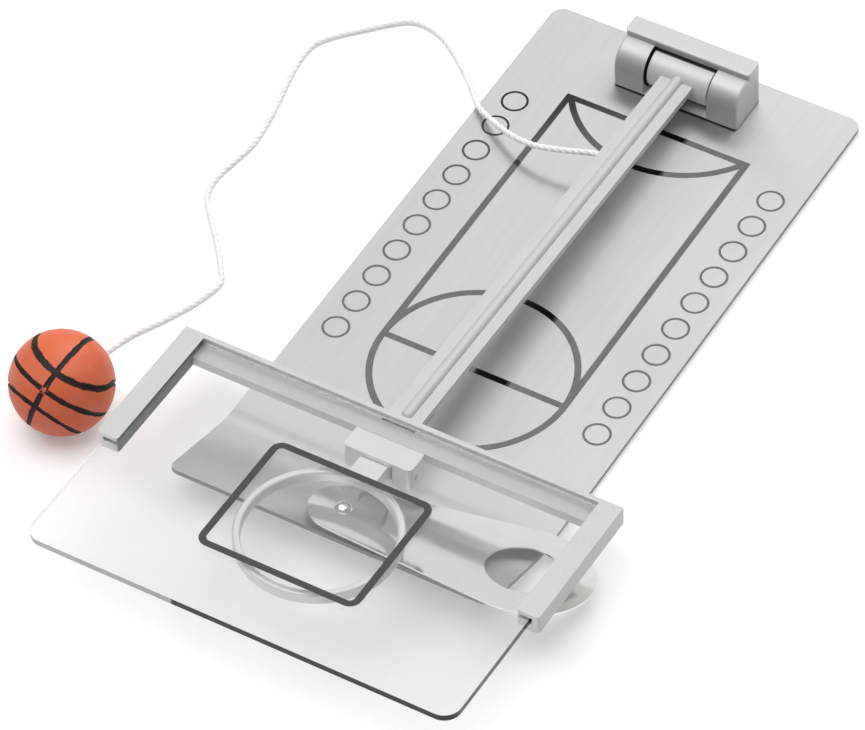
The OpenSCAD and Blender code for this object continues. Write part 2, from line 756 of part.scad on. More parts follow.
module flipper_screw() {
    dome_ball_r = (dome_r * dome_r + dome_h * dome_h) / (2 * dome_h);
    seat = flipper_top_h + seat_gap;
    shank = plate_t + nut_h + thread_end;
    color(bright) on_ramp() translate([flipper_x, screw_d, 0]) difference() {
        union() {
            translate([0, 0, -shank]) cylinder(h = shank + seat, r = flipper_screw_r);
            intersection() {
                translate([0, 0, seat]) cylinder(h = dome_h, r = dome_r);
                translate([0, 0, seat + dome_h - dome_ball_r]) sphere(dome_ball_r);
            }
        }
        translate([0, 0, seat + dome_h / 2]) cross_recess(dome_r * 0.8, dome_h);
    }
}

// Crossed drive slots, opening upward
module cross_recess(len, depth) {
    half = drive_slot_w / 2;
    box([-len / 2, -half, 0], [len / 2, half, depth]);
    box([-half, -len / 2, 0], [half, len / 2, depth]);
}

module flipper_nut() {
    color(bright) on_ramp() translate([flipper_x, screw_d, -plate_t - nut_h]) difference() {
        cylinder(h = nut_h, r = nut_flats / sqrt(3), $fn = 6);
        translate([0, 0, -cut]) cylinder(h = nut_h + 2 * cut, r = flipper_screw_r + seat_gap);
    }
}

module ball() {
    color(orange) translate(ball_at) rotate(ball_turn) difference() {
        sphere(ball_r);
        seam_cutter(0, seam_depth);
        rotate([0, 90, 0]) seam_cutter(0, seam_depth * 1.1);
        for (side = [-1, 1], end = [-1, 1]) side_seam(side, end);
        rod_y(cord_hole_r, ball_r - cord_hole_depth, ball_r + cut);
    }
}

// Ring that cuts a seam of even depth round the ball at a height along Z
module seam_cutter(at, depth) {
    low = at - seam_w / 2;
    high = at + seam_w / 2;
    sink = depth * ball_r / sqrt(ball_r * ball_r - at * at);
    low_r = sqrt(ball_r * ball_r - low * low) - sink;
    high_r = sqrt(ball_r * ball_r - high * high) - sink;
    translate([0, 0, low]) difference() {
        cylinder(h = seam_w, r = ball_r + cut);
        cylinder(h = seam_w, r1 = low_r, r2 = high_r);
    }
}

// Half of a side seam: above or below the level seam, at the front or the back
module side_seam(side, end) {
    reach = ball_r + 2 * cut;
    overlap = 0.05;
    intersection() {
        rotate([-end * side * seam_tilt, 0, 0]) seam_cutter(side * side_seam_at, seam_depth);
        translate([-reach, end > 0 ? -overlap : overlap - reach, -reach]) {
            cube([2 * reach, reach, 2 * reach]);
        }
    }
}

// Point at share t of the way from one route point to the next
function between(p, i, t) =
    let (last = len(p) - 1, a = p[max(i - 1, 0)], b = p[i], c = p[i + 1], d = p[min(i + 2, last)])
    (2 * b + (c - a) * t + (2 * a - 5 * b + 4 * c - d) * t * t
        + (3 * b - a - 3 * c + d) * t * t * t) / 2;

// The same point, kept from sinking into the table
function on_table(p) = [p[0], p[1], max(p[2], cord_d / 2)];

function smooth_route(p) = concat(
    [for (i = [0:len(p) - 2], k = [0:cord_steps - 1]) on_table(between(p, i, k / cord_steps))],
    [p[len(p) - 1]]);

function unit(v) = v / norm(v);

// Corners of the tube's section at one station of the path
function tube_ring(path, i, r) =
    let (ahead = unit(path[min(i + 1, len(path) - 1)] - path[max(i - 1, 0)]),
        side = unit(cross(ahead, [0, 0, 1])),
        up = cross(side, ahead))
    [for (k = [0:cord_sides - 1]) let (a = 360 * (k + 0.5) / cord_sides)
        path[i] + r * (cos(a) * side + sin(a) * up)];

module tube(path, r) {
    rings = len(path);
    points = [for (i = [0:rings - 1]) each tube_ring(path, i, r)];
    walls = [for (i = [0:rings - 2], k = [0:cord_sides - 1]) let (m = (k + 1) % cord_sides)
        [i * cord_sides + k, i * cord_sides + m, (i + 1) * cord_sides + m, (i + 1) * cord_sides + k]];
    near_end = [for (k = [0:cord_sides - 1]) cord_sides - 1 - k];
    far_end = [for (k = [0:cord_sides - 1]) (rings - 1) * cord_sides + k];
    polyhedron(points, concat(walls, [near_end, far_end]));
}

module cord() {
    color(white) tube(smooth_route(cord_route), cord_d / 2);
}

base_plate();
foot_pads();
hinge_block();
block_screws();
hinge_pin();
friction_washers();
hinge_barrel();
post();
post_screws();
board_frame();
backboard();
hoop_bracket();
bracket_screws();
hoop_pin();
hoop_ring();
flipper();
flipper_spacer();
flipper_screw();
flipper_nut();
ball();
cord();
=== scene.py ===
"""Looks of the tabletop basketball game, folded flat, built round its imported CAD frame.

Every length is in metres, in the frame of the CAD part: the origin lies on the
table below the hinge axis, +Y to the rear, +Z up. The CAD nodes keep their
shapes and get their finishes here. The printed lines, the twisted cord and the
studio are added to them.
"""

import json
import logging
import math
from dataclasses import dataclass, field
from enum import Enum
from typing import ClassVar

import bmesh
import bpy
from bmesh.types import BMEdge, BMesh, BMFace, BMVert
from mathutils import Matrix, Quaternion, Vector


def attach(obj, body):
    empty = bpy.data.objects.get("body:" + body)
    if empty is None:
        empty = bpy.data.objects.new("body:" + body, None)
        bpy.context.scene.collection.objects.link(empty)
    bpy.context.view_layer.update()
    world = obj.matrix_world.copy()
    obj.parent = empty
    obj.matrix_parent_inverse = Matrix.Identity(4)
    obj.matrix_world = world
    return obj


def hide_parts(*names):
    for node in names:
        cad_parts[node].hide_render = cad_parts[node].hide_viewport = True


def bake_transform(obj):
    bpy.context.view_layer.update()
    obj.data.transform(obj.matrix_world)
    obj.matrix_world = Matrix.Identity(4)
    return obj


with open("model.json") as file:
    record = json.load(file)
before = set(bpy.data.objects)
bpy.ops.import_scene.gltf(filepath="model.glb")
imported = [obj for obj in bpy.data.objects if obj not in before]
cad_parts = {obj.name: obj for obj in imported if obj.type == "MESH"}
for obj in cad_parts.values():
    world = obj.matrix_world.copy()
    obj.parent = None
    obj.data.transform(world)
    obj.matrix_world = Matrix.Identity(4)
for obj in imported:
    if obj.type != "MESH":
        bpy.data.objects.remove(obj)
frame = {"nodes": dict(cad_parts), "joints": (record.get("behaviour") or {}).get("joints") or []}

log = logging.getLogger("basketball_game")
Pair = tuple[float, float]
Triple = tuple[float, float, float]
Colour = Triple
Socket = bpy.types.NodeSocket
Tree = bpy.types.NodeTree
MM = 0.001


class Body(Enum):
    """The bodies that carry the pieces made here."""

    BASE = "base"
    UPRIGHT = "upright"


class Grain(Enum):
    """The surface patterns that more than one finish uses, one node group each."""

    BRUSHED = "brushed_grain"
    SPECKLE = "fine_speckle"
    CLOUDS = "soft_clouds"


# Helpers for colours and nodes


def toned(colour: Colour, factor: float) -> Colour:
    """A colour times a factor, with no part over 1."""
    return tuple(min(c * factor, 1.0) for c in colour)


def connect(tree: Tree, value: Socket | Colour | float, socket: Socket) -> None:
    """Gives an input what it reads.

    Args:
        tree: Tree that holds the input.
        value: Socket to join, or colour or number to set.
        socket: The input.
    """
    if isinstance(value, Socket):
        tree.links.new(value, socket)
    elif isinstance(value, tuple):
        socket.default_value = (*value, 1.0)
    else:
        socket.default_value = value


def give(tree: Tree, node: bpy.types.Node, **values: Socket | Colour | float) -> bpy.types.Node:
    """Gives inputs of a node what they read.

    Args:
        tree: Tree that holds the node.
        node: The node.
        **values: Socket, colour or number for each input, with _ for a space in its name.

    Returns:
        The node.
    """
    for name, value in values.items():
        connect(tree, value, node.inputs[name.replace("_", " ")])
    return node


def add_math(tree: Tree, operation: str, *values: Socket | float) -> Socket:
    """Adds a Math node.

    Args:
        tree: Tree that the node goes into.
        operation: Blender's name of the operation.
        *values: Socket or number for each input in turn.

    Returns:
        The result's socket.
    """
    node = tree.nodes.new("ShaderNodeMath")
    node.operation = operation
    for socket, value in zip(node.inputs, values):
        connect(tree, value, socket)
    return node.outputs[0]


def add_noise(tree: Tree, vector: Socket, detail: float, roughness: float) -> Socket:
    """Adds a noise texture of scale 1 that reads a vector.

    Args:
        tree: Tree that the node goes into.
        vector: Socket that gives the place.
        detail: Octaves of the noise.
        roughness: Weight of its fine octaves.

    Returns:
        The socket of the noise's value.
    """
    node = give(tree, tree.nodes.new("ShaderNodeTexNoise"), Scale=1.0, Detail=detail,
                Roughness=roughness, Vector=vector)
    return node.outputs["Fac"]


class GrainLibrary:
    """Builds each shared node group once."""

    BAND_SCALE = 0.12

    def __init__(self) -> None:
        """Makes the three groups."""
        self.groups = {
            Grain.BRUSHED: self._brushed(),
            Grain.SPECKLE: self._even(Grain.SPECKLE, "Grain", 2.0, 0.6),
            Grain.CLOUDS: self._even(Grain.CLOUDS, "Drift", 3.0, 0.5),
        }

    @staticmethod
    def _blank(kind: Grain, numbers: list[str], outputs: list[str]) -> Tree:
        """Starts a group that reads a vector and some numbers.

        Args:
            kind: Which pattern.
            numbers: Names of the numbers that it reads.
            outputs: Names of the numbers that it puts out.

        Returns:
            The group's node tree, with its input and output nodes.
        """
        tree = bpy.data.node_groups.new(kind.value, "ShaderNodeTree")
        tree.interface.new_socket("Vector", in_out="INPUT", socket_type="NodeSocketVector")
        for way, names in (("INPUT", numbers), ("OUTPUT", outputs)):
            for name in names:
                tree.interface.new_socket(name, in_out=way, socket_type="NodeSocketFloat")
        tree.nodes.new("NodeGroupInput")
        tree.nodes.new("NodeGroupOutput")
        return tree

    @staticmethod
    def _scaled(tree: Tree, vector: Socket, factor: Socket | float) -> Socket:
        """Adds a node that scales a vector.

        Args:
            tree: Tree that the node goes into.
            vector: The vector.
            factor: Socket or number to multiply it by.

        Returns:
            The scaled vector's socket.
        """
        node = tree.nodes.new("ShaderNodeVectorMath")
        node.operation = "SCALE"
        return give(tree, node, Vector=vector, Scale=factor).outputs[0]

    def _brushed(self) -> Tree:
        """Fine scratches that run along Y and slower bands, both round 0.5."""
        tree = self._blank(Grain.BRUSHED, ["Per Length", "Per Width"], ["Scratches", "Bands"])
        start, end = tree.nodes["Group Input"].outputs, tree.nodes["Group Output"].inputs
        scale = give(tree, tree.nodes.new("ShaderNodeCombineXYZ"), X=start["Per Width"],
                     Y=start["Per Length"], Z=start["Per Length"])
        stretched = tree.nodes.new("ShaderNodeVectorMath")
        stretched.operation = "MULTIPLY"
        tree.links.new(start["Vector"], stretched.inputs[0])
        tree.links.new(scale.outputs[0], stretched.inputs[1])
        slower = self._scaled(tree, stretched.outputs[0], self.BAND_SCALE)
        tree.links.new(add_noise(tree, stretched.outputs[0], 3.0, 0.65), end["Scratches"])
        tree.links.new(add_noise(tree, slower, 2.0, 0.5), end["Bands"])
        return tree

    def _even(self, kind: Grain, output: str, detail: float, roughness: float) -> Tree:
        """Noise that is the same every way.

        Args:
            kind: Which pattern.
            output: Name of the number that it puts out.
            detail: Octaves of the noise.
            roughness: Weight of its fine octaves.

        Returns:
            The group, whose value lies round 0.5.
        """
        tree = self._blank(kind, ["Per Metre"], [output])
        start, end = tree.nodes["Group Input"].outputs, tree.nodes["Group Output"].inputs
        scaled = self._scaled(tree, start["Vector"], start["Per Metre"])
        tree.links.new(add_noise(tree, scaled, detail, roughness), end[output])
        return tree


class Nodes:
    """Short ways to place and join nodes in one material."""

    def __init__(self, material: bpy.types.Material, library: GrainLibrary) -> None:
        """Starts from an empty tree with an output and a Principled shader.

        Args:
            material: The material to fill.
            library: The shared node groups.
        """
        material.use_nodes = True
        self.tree = material.node_tree
        self.tree.nodes.clear()
        self.library = library
        self.output = self.add("ShaderNodeOutputMaterial")
        self.shader = self.add("ShaderNodeBsdfPrincipled")
        self.link(self.shader.outputs[0], self.output.inputs["Surface"])
        self.place = self.add("ShaderNodeTexCoord").outputs["Object"]

    def add(self, kind: str) -> bpy.types.Node:
        """A new node of this kind."""
        return self.tree.nodes.new(kind)

    def link(self, source: Socket, target: Socket) -> None:
        """Joins two sockets."""
        self.tree.links.new(source, target)

    def set(self, **values: Socket | float) -> None:
        """Gives inputs of the shader what they read, with _ for a space in a name."""
        give(self.tree, self.shader, **values)

    def parts(self, vector: Socket) -> dict[str, Socket]:
        """The socket of each part of a vector, under its axis."""
        node = self.add("ShaderNodeSeparateXYZ")
        self.link(vector, node.inputs[0])
        return {axis: node.outputs[axis] for axis in "XYZ"}

    def own_normal(self, axis: str) -> Socket:
        """One part of the surface's direction in the piece's own frame."""
        return self.parts(self.add("ShaderNodeTexCoord").outputs["Normal"])[axis]

    def grain(self, kind: Grain, **numbers: float) -> list[Socket]:
        """Places a shared group that reads the object's coordinates.

        Args:
            kind: Which pattern.
            **numbers: Values of its number sockets, with _ for a space.

        Returns:
            The sockets of what it puts out.
        """
        node = self.add("ShaderNodeGroup")
        node.node_tree = self.library.groups[kind]
        return list(give(self.tree, node, Vector=self.place, **numbers).outputs)

    def math(self, operation: str, *values: Socket | float) -> Socket:
        """A Math node on sockets or numbers."""
        return add_math(self.tree, operation, *values)

    def size_of(self, value: Socket) -> Socket:
        """A value without its sign."""
        return self.math("ABSOLUTE", value)

    def spread(self, source: Socket, low: float, high: float, start: float = 0.3,
               end: float = 0.7) -> Socket:
        """Maps a value, most often a noise, to a range.

        Args:
            source: The value.
            low: Result at the start of the range read.
            high: Result at its end.
            start: Start of the range read.
            end: End of the range read.

        Returns:
            The mapped socket.
        """
        node = give(self.tree, self.add("ShaderNodeMapRange"), Value=source, From_Min=start,
                    From_Max=end, To_Min=low, To_Max=high)
        return node.outputs[0]

    def around(self, source: Socket, middle: float, change: float) -> Socket:
        """Maps a noise to a middle value, with the most that it departs from it."""
        return self.spread(source, middle - change, middle + change)

    def mix(self, factor: Socket, a: Socket | Colour, b: Socket | Colour) -> Socket:
        """Mixes two colours.

        Args:
            factor: Socket that goes from 0, the first colour, to 1, the second.
            a: First colour.
            b: Second colour.

        Returns:
            The mixed colour's socket.
        """
        node = self.add("ShaderNodeMix")
        node.data_type = "RGBA"
        for index, value in ((0, factor), (6, a), (7, b)):
            connect(self.tree, value, node.inputs[index])
        return node.outputs[2]

    def bump(self, height: Socket, depth: float) -> None:
        """Feeds the shader's Normal from a height from 0 to 1, with its full depth."""
        node = give(self.tree, self.add("ShaderNodeBump"), Strength=1.0, Distance=depth, Height=height)
        self.set(Normal=node.outputs[0])

    def tint(self, colour: Colour, amount: float, source: Socket) -> Socket:
        """A colour that a noise lightens and darkens by up to a share of it."""
        return self.mix(self.spread(source, 0.0, 1.0), toned(colour, 1 - amount), toned(colour, 1 + amount))


# Finishes


@dataclass(frozen=True)
class Finish:
    """A finish: its name and mean colour, in linear light."""

    name: str
    colour: Colour

    def material(self, library: GrainLibrary) -> bpy.types.Material:
        """Builds the material, once for each name.

        Args:
            library: The shared node groups.

        Returns:
            The material.
        """
        made = bpy.data.materials.get(self.name)
        if made is None:
            made = bpy.data.materials.new(self.name)
            self.fill(Nodes(made, library))
        return made

    def fill(self, nodes: Nodes) -> None:
        """Places the nodes that make this finish."""
        raise NotImplementedError


@dataclass(frozen=True)
class BrushedSteel(Finish):
    """Sheet steel brushed along its length, with its side faces darker in tone."""

    roughness: float = 0.36
    gloss_change: float = 0.03
    tone_change: float = 0.05
    scratch_share: float = 0.65
    scratch_depth: float = 0.0015 * MM
    stretch: float = 0.92
    edge_tone: float = 0.28

    def fill(self, nodes: Nodes) -> None:
        """Scratches in tone, gloss and height, with reflections drawn out across them."""
        scratches, bands = nodes.grain(Grain.BRUSHED, Per_Length=90.0, Per_Width=3500.0)
        drift = nodes.grain(Grain.CLOUDS, Per_Metre=28.0)[0]
        both = nodes.math("ADD", nodes.math("MULTIPLY", scratches, self.scratch_share),
                          nodes.math("MULTIPLY", bands, 1.0 - self.scratch_share))
        flat = nodes.spread(nodes.size_of(nodes.own_normal("Z")), 0.0, 1.0, 0.5, 0.8)
        brushed = nodes.tint(self.colour, self.tone_change, both)
        nodes.set(Base_Color=nodes.mix(flat, toned(self.colour, self.edge_tone), brushed))
        gloss = nodes.math("ADD", nodes.around(scratches, 0.0, self.gloss_change),
                           nodes.around(drift, self.roughness, self.gloss_change))
        nodes.set(Roughness=gloss)
        nodes.bump(scratches, self.scratch_depth)
        across = give(nodes.tree, nodes.add("ShaderNodeCombineXYZ"), X=1.0)
        nodes.set(Tangent=across.outputs[0], Metallic=1.0, Anisotropic=self.stretch)


@dataclass(frozen=True)
class ShadeBand:
    """Painted shade: how dark a piece is painted before and after a stretch of one axis, standing in for a
    contact shadow along a foot and a shadow line under an edge.
    """

    axis: str
    before: float
    after: float
    start: float
    end: float

    def mask(self, nodes: Nodes) -> Socket:
        """One where the shade is painted, zero elsewhere."""
        along = nodes.parts(nodes.place)[self.axis]
        return nodes.spread(along, self.before, self.after, self.start, self.end)


@dataclass(frozen=True)
class ShadePocket:
    """A round pocket about a line along X that is painted dark as the shade in it."""

    centre: Pair
    radius: float
    half_width: float

    def mask(self, nodes: Nodes) -> Socket:
        """One inside the pocket, zero elsewhere."""
        parts = nodes.parts(nodes.place)
        squares = []
        for axis, middle in zip("YZ", self.centre):
            apart = nodes.size_of(nodes.math("SUBTRACT", parts[axis], middle))
            squares.append(nodes.math("POWER", apart, 2.0))
        inside = nodes.math("LESS_THAN", nodes.math("ADD", *squares), self.radius ** 2)
        between = nodes.math("LESS_THAN", nodes.size_of(parts["X"]), self.half_width)
        return nodes.math("MULTIPLY", inside, between)


@dataclass(frozen=True)
class SilverLacquer(Finish):
    """Satin silver lacquer over a casting or an extrusion.

    Attributes:
        painted_under_tone: Tone of the faces that look down, against the rest: painted shade below 1,
            painted light above 1.
        painted_front_tone: Tone of the faces that look to -Y: painted shade below 1, painted light above 1.
        inside: Half the room between two arms whose inner sides get painted shade.
        painted_shade: Where painted shade darkens the piece, along a contact line and in gaps.
    """

    roughness: float = 0.45
    gloss_change: float = 0.06
    metal: float = 0.2
    tone_change: float = 0.07
    grain_size: float = 0.25 * MM
    grain_depth: float = 0.006 * MM
    soil_share: float = 0.10
    soil_tone: float = 0.75
    painted_under_tone: float = 1.0
    painted_front_tone: float = 1.0
    painted_inner_shade: float = 0.3
    inside: float | None = None
    painted_shade_tone: float = 0.04
    painted_shade: tuple[ShadeBand | ShadePocket, ...] = ()

    def fill(self, nodes: Nodes) -> None:
        """Fine flakes in tone, gloss and height over a slow drift, with painted light and shade on faces by
        their direction, between arms and in gaps.
        """
        flakes = nodes.grain(Grain.SPECKLE, Per_Metre=1.0 / self.grain_size)[0]
        soil = nodes.spread(nodes.grain(Grain.CLOUDS, Per_Metre=90.0)[0], 0.0, self.soil_share)
        tone = nodes.tint(self.colour, self.tone_change, flakes)
        tone = nodes.mix(soil, tone, toned(self.colour, self.soil_tone))
        # Painted light and shade on the faces that look down and to -Y.
        for axis, strength in (("Z", self.painted_under_tone), ("Y", self.painted_front_tone)):
            if strength != 1.0:
                faces = nodes.spread(nodes.own_normal(axis), 1.0, 0.0, -0.9, -0.5)
                tone = nodes.mix(faces, tone, toned(self.colour, strength))
        # Painted shade on the inner sides between the arms.
        if self.inside is not None:
            tone = nodes.mix(self._shaded_inner_sides(nodes), tone, toned(self.colour, self.painted_inner_shade))
        # Painted shade along a contact line and in gaps.
        for place in self.painted_shade:
            tone = nodes.mix(place.mask(nodes), tone, toned(self.colour, self.painted_shade_tone))
        nodes.set(Base_Color=tone)
        nodes.set(Roughness=nodes.around(flakes, self.roughness, self.gloss_change))
        nodes.bump(flakes, self.grain_depth)
        nodes.set(Metallic=self.metal)

    def _shaded_inner_sides(self, nodes: Nodes) -> Socket:
        """One on the sides that face each other between two arms, where shade is painted."""
        side = nodes.spread(nodes.size_of(nodes.own_normal("X")), 0.0, 1.0, 0.5, 0.9)
        within = nodes.math("LESS_THAN", nodes.size_of(nodes.parts(nodes.place)["X"]), self.inside)
        return nodes.math("MULTIPLY", side, within)


@dataclass(frozen=True)
class PolishedSteel(Finish):
    """Polished or bright plated steel with faint wiping marks."""

    roughness: float = 0.14
    tone_change: float = 0.04

    def fill(self, nodes: Nodes) -> None:
        """Slow marks in gloss and a little in tone."""
        drift = nodes.grain(Grain.CLOUDS, Per_Metre=160.0)[0]
        specks = nodes.grain(Grain.SPECKLE, Per_Metre=2500.0)[0]
        nodes.set(Base_Color=nodes.tint(self.colour, self.tone_change, drift))
        wiped = nodes.spread(drift, self.roughness - 0.03, self.roughness + 0.04)
        nodes.set(Roughness=nodes.math("ADD", wiped, nodes.spread(specks, -0.01, 0.02)))
        nodes.set(Metallic=1.0)


@dataclass(frozen=True)
class PrintInk(Finish):
    """Thin glossy black ink through which the ground still mirrors."""

    roughness: float = 0.05
    dulling: float = 0.06
    tone_change: float = 0.25
    metal: float = 1.0

    def fill(self, nodes: Nodes) -> None:
        """Faint scratches and specks in tone and gloss."""
        scratches = nodes.grain(Grain.BRUSHED, Per_Length=200.0, Per_Width=5000.0)[0]
        specks = nodes.grain(Grain.SPECKLE, Per_Metre=4500.0)[0]
        both = nodes.math("MULTIPLY", scratches, nodes.math("MULTIPLY", specks, 2.0))
        nodes.set(Base_Color=nodes.tint(self.colour, self.tone_change, both))
        nodes.set(Roughness=nodes.spread(specks, self.roughness, self.roughness + self.dulling))
        nodes.set(Metallic=self.metal)


@dataclass(frozen=True)
class ClearSheet(Finish):
    """Clear plastic sheet that lets lamps through, sawn along its edges.

    Attributes:
        passing: What is left of the light that passes it to or from other surfaces.
        dull_lit_until: Where along X the dull part of its sawn edge ends; that part is painted grey as a
            reflection, the rest of the edge near black as shade.
    """

    index: float = 1.49
    passing: Colour = (0.96, 0.965, 0.96)
    shadow: Colour = (0.66, 0.665, 0.66)
    dull_lit_edge: Colour = (0.16, 0.165, 0.16)
    clean_shaded_edge: Colour = (0.012, 0.013, 0.012)
    dull_lit_until: float = -0.0197
    dull_blend: float = 0.5 * MM
    edge_roughness: float = 0.3

    def fill(self, nodes: Nodes) -> None:
        """Clear body with faint wiping marks, and a sawn edge with a painted reflection on its dull part
        and painted shade on the rest; light from lamps and off pale things passes it.
        """
        edge = nodes.spread(nodes.size_of(nodes.own_normal("Z")), 1.0, 0.0, 0.3, 0.7)
        body = nodes.tint(self.colour, 0.004, nodes.grain(Grain.CLOUDS, Per_Metre=220.0)[0])
        along = nodes.parts(nodes.place)["X"]
        dull = nodes.spread(along, 1.0, 0.0, self.dull_lit_until, self.dull_lit_until + self.dull_blend)
        # Painted reflection in grey on the dull part of the edge, painted shade in near black beyond it.
        sawn = nodes.mix(dull, self.clean_shaded_edge, self.dull_lit_edge)
        nodes.set(Base_Color=nodes.mix(edge, body, sawn))
        dull_sawn = nodes.math("MULTIPLY", edge, dull)
        nodes.set(Roughness=nodes.math("MULTIPLY", dull_sawn, self.edge_roughness))
        nodes.set(IOR=self.index, Transmission_Weight=1.0)
        through, behind = (give(nodes.tree, nodes.add("ShaderNodeBsdfTransparent"), Color=left)
                           for left in (self.passing, self.shadow))
        rays = nodes.add("ShaderNodeLightPath")
        seen = nodes.shader.outputs[0]
        for path, shown in (("Is Glossy Ray", through), ("Is Singular Ray", nodes.shader),
                            ("Is Diffuse Ray", through), ("Is Shadow Ray", behind)):
            both = nodes.add("ShaderNodeMixShader")
            nodes.link(rays.outputs[path], both.inputs[0])
            nodes.link(seen, both.inputs[1])
            nodes.link(shown.outputs[0], both.inputs[2])
            seen = both.outputs[0]
        nodes.link(seen, nodes.output.inputs["Surface"])


@dataclass(frozen=True)
class MattMoulding(Finish):
    """Matt rubber or nylon with a fine moulded skin."""

    roughness: float = 0.75
    gloss_change: float = 0.08
    tone_change: float = 0.15
    grain_size: float = 0.3 * MM
    grain_depth: float = 0.01 * MM
    shine: float = 0.5

    def fill(self, nodes: Nodes) -> None:
        """Even grain in tone, gloss and height."""
        skin = nodes.grain(Grain.SPECKLE, Per_Metre=1.0 / self.grain_size)[0]
        nodes.set(Base_Color=nodes.tint(self.colour, self.tone_change, skin))
        nodes.set(Roughness=nodes.around(skin, self.roughness, self.gloss_change))
        nodes.bump(skin, self.grain_depth)
        nodes.set(Specular_IOR_Level=self.shine)


@dataclass(frozen=True)
class BallRubber(Finish):
    """Satin rubber ball with painted seams, turned as the ball lies.

    Attributes:
        side_width: What is added to the side seams on the ball's lower and upper half.
        ring_width: What is added to the seam that crosses the others.
        bare_mark: Size of the bare mould mark at the crossing, and where it fades out.
    """

    seam_colour: Colour = (0.022, 0.015, 0.012)
    bloom_colour: Colour = (0.80, 0.42, 0.33)
    bloom_share: float = 0.22
    tone_change: float = 0.08
    paint_matt: float = 0.12
    pebble_depth: float = 0.02 * MM
    centre: Triple = (-0.0902, -0.1878, 0.0147)
    turn_deg: Triple = (-41.0, 18.0, -3.0)
    radius: float = 0.0147
    seam_half: float = 0.72 * MM
    seam_blend: float = 0.06 * MM
    seam_lat_deg: float = 22.5
    seam_tilt_deg: float = 11.5
    side_width: Pair = (-0.15 * MM, 0.06 * MM)
    ring_width: float = 0.08 * MM
    bare_mark: Pair = (0.9 * MM, 1.2 * MM)

    def fill(self, nodes: Nodes) -> None:
        """Orange skin with bloom and specks under black seams."""
        local = nodes.add("ShaderNodeMapping")
        local.vector_type = "TEXTURE"
        local.inputs["Location"].default_value = self.centre
        local.inputs["Rotation"].default_value = tuple(math.radians(a) for a in self.turn_deg)
        nodes.link(nodes.place, local.inputs["Vector"])
        paint = self._paint(nodes, nodes.parts(local.outputs[0]))
        pebble = nodes.grain(Grain.SPECKLE, Per_Metre=2600.0)[0]
        bloom = nodes.grain(Grain.CLOUDS, Per_Metre=95.0)[0]
        skin = nodes.mix(nodes.spread(bloom, 0.0, self.bloom_share, 0.45, 0.75),
                         nodes.tint(self.colour, self.tone_change, pebble), self.bloom_colour)
        nodes.set(Base_Color=nodes.mix(paint, skin, self.seam_colour))
        matt = nodes.math("MULTIPLY", paint, self.paint_matt)
        nodes.set(Roughness=nodes.math("ADD", nodes.spread(pebble, 0.42, 0.56), matt))
        nodes.bump(pebble, self.pebble_depth)
        nodes.set(Specular_IOR_Level=0.3, Subsurface_Weight=0.06, Subsurface_Scale=0.002)

    def _paint(self, nodes: Nodes, parts: dict[str, Socket]) -> Socket:
        """Finds the painted seams, with their uneven edges.

        Args:
            nodes: The material's nodes.
            parts: The place in the ball's own frame.

        Returns:
            One on the paint, zero elsewhere.
        """
        x, y, z = (nodes.size_of(parts[axis]) for axis in "XYZ")
        tilt = math.radians(self.seam_tilt_deg)
        height = self.radius * math.sin(math.radians(self.seam_lat_deg + self.seam_tilt_deg))
        side = nodes.math("ADD", nodes.math("MULTIPLY", z, math.cos(tilt)),
                          nodes.math("MULTIPLY", y, math.sin(tilt)))
        side = nodes.size_of(nodes.math("SUBTRACT", side, height))
        side = nodes.math("SUBTRACT", side, nodes.spread(parts["Z"], *self.side_width, -MM, MM))
        ring = nodes.math("SUBTRACT", x, self.ring_width)
        nearest = nodes.math("MINIMUM", nodes.math("MINIMUM", ring, z), side)
        drift = nodes.grain(Grain.CLOUDS, Per_Metre=260.0)[0]
        ragged = nodes.grain(Grain.SPECKLE, Per_Metre=1500.0)[0]
        edge = nodes.math("ADD", nodes.spread(drift, -0.18 * MM, 0.16 * MM),
                          nodes.around(ragged, 0.0, 0.09 * MM))
        paint = nodes.spread(nodes.math("ADD", nearest, edge), 1.0, 0.0,
                             self.seam_half - self.seam_blend, self.seam_half + self.seam_blend)
        mark = nodes.math("ADD", nodes.math("ADD", x, z), nodes.around(ragged, 0.0, self.bare_mark[0]))
        bare = nodes.spread(mark, 1.0, 0.0, *self.bare_mark)
        return nodes.math("MULTIPLY", paint, nodes.math("SUBTRACT", 1.0, bare))


@dataclass(frozen=True)
class TwistedYarn(Finish):
    """White yarn; its fibres follow the strands by the piece's own map."""

    valley_shade_tone: float = 0.94
    tone_change: float = 0.05
    fibre_depth: float = 0.05 * MM

    def fill(self, nodes: Nodes) -> None:
        """Fibres along the strands, with painted shade where the strands meet."""
        uv = nodes.add("ShaderNodeUVMap")
        uv.uv_map = "strands"
        stretch = nodes.add("ShaderNodeMapping")
        stretch.inputs["Scale"].default_value = (260.0, 60.0, 1.0)
        nodes.link(uv.outputs[0], stretch.inputs["Vector"])
        fibres = add_noise(nodes.tree, stretch.outputs[0], 3.0, 0.5)
        valley_shade = nodes.add("ShaderNodeAttribute")
        valley_shade.attribute_name = "valley_shade"
        light = nodes.tint(self.colour, self.tone_change, fibres)
        dark = toned(self.colour, self.valley_shade_tone)
        nodes.set(Base_Color=nodes.mix(valley_shade.outputs["Fac"], light, dark))
        nodes.bump(fibres, self.fibre_depth)
        nodes.set(Roughness=0.7, Sheen_Weight=0.2)


COURT_STEEL = BrushedSteel("brushed_court_steel", (0.63, 0.63, 0.618))
# Painted shade on the block's front faces, a painted contact shadow along its foot and painted shade in the
# barrel's pocket.
CAST_SILVER = SilverLacquer("cast_silver_lacquer", (0.62, 0.628, 0.615), painted_front_tone=0.6,
                            painted_shade=(ShadeBand("Z", 1.0, 0.0, 2.55 * MM, 2.8 * MM),
                                   ShadePocket((0.0, 8.9 * MM), 6.7 * MM, 10.6 * MM)))
